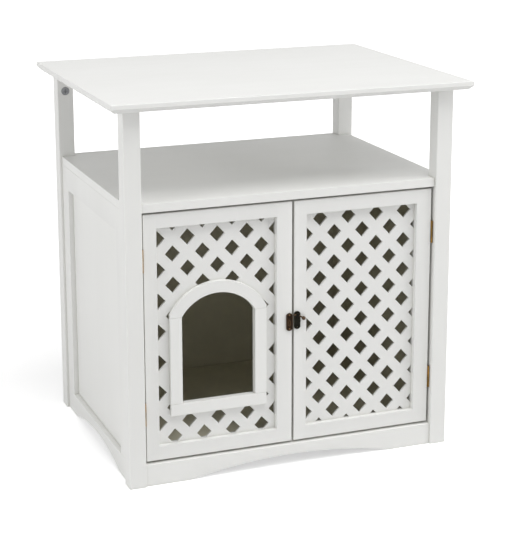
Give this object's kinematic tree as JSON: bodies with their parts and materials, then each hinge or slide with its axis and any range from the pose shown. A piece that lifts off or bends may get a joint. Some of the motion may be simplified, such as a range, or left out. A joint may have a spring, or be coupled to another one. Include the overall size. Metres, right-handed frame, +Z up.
{
  "type": "cat litter box cabinet",
  "caption": "Side-table cabinet with an open shelf bay and lattice doors, one door with an arched cat entry, a latch lever, brass hinges and arched aprons.",
  "frame": {"origin": "centre of the bottom of the whole cabinet, on the floor, with the overhanging top counted in its width and depth", "axes": "+Z up, front with the doors faces -Y, +X to the right when looking at the doors"},
  "size_m": [0.652, 0.502, 0.671],
  "materials": {
    "white_paint": "satin white paint on wood board",
    "hinge_brass": "polished",
    "latch_bronze": "antique dark bronze",
    "cam_metal": "dull die-cast grey",
    "bolt_steel": "plain zinc plated"
  },
  "bodies": {
    "cabinet": {"back_panel": "white_paint", "back_rail": "white_paint", "cam_back_left": "cam_metal", "cam_back_right": "cam_metal", "cam_bolt_back_left": "bolt_steel", "cam_bolt_back_right": "bolt_steel", "cam_bolt_front_left": "bolt_steel", "cam_bolt_front_right": "bolt_steel", "cam_front_left": "cam_metal", "cam_front_right": "cam_metal", "floor_board": "white_paint", "front_apron": "white_paint", "left_arched_rail": "white_paint", "left_back_stile": "white_paint", "left_field": "white_paint", "left_front_stile": "white_paint", "left_lower_hinge_pin": "hinge_brass", "left_lower_hinge_post_leaf": "hinge_brass", "left_top_rail": "white_paint", "left_upper_hinge_pin": "hinge_brass", "left_upper_hinge_post_leaf": "hinge_brass", "post_back_left": "white_paint", "post_back_right": "white_paint", "post_front_left": "white_paint", "post_front_right": "white_paint", "right_arched_rail": "white_paint", "right_back_stile": "white_paint", "right_field": "white_paint", "right_front_stile": "white_paint", "right_lower_hinge_pin": "hinge_brass", "right_lower_hinge_post_leaf": "hinge_brass", "right_top_rail": "white_paint", "right_upper_hinge_pin": "hinge_brass", "right_upper_hinge_post_leaf": "hinge_brass", "shelf": "white_paint", "table_top": "white_paint"},
    "left_door": {"entry_head": "white_paint", "entry_left_jamb": "white_paint", "entry_right_jamb": "white_paint", "entry_sill_piece": "white_paint", "latch_keeper_plate": "latch_bronze", "left_door_bottom_rail": "white_paint", "left_door_hinge_stile": "white_paint", "left_door_latch_stile": "white_paint", "left_door_lattice": "white_paint", "left_door_top_rail": "white_paint", "left_lower_hinge_door_leaf": "hinge_brass", "left_upper_hinge_door_leaf": "hinge_brass"},
    "right_door": {"latch_pivot_cap": "latch_bronze", "latch_plate": "latch_bronze", "right_door_bottom_rail": "white_paint", "right_door_hinge_stile": "white_paint", "right_door_latch_stile": "white_paint", "right_door_lattice": "white_paint", "right_door_top_rail": "white_paint", "right_lower_hinge_door_leaf": "hinge_brass", "right_upper_hinge_door_leaf": "hinge_brass"},
    "lever": {"latch_lever": "latch_bronze"}
  },
  "joints": [
    {"name": "left_door_hinge", "type": "hinge", "parent": "cabinet", "child": "left_door", "pos_m": [-0.268, -0.2165, 0.2595], "axis": [0, 0, 1], "range_deg": [-105, 0]},
    {"name": "right_door_hinge", "type": "hinge", "parent": "cabinet", "child": "right_door", "pos_m": [0.268, -0.2165, 0.2595], "axis": [0, 0, 1], "range_deg": [0, 105]},
    {"name": "latch_turn", "type": "hinge", "parent": "right_door", "child": "lever", "pos_m": [0.01, -0.21915, 0.2757], "axis": [0, -1, 0], "range_deg": [0, 60]}
  ]
}
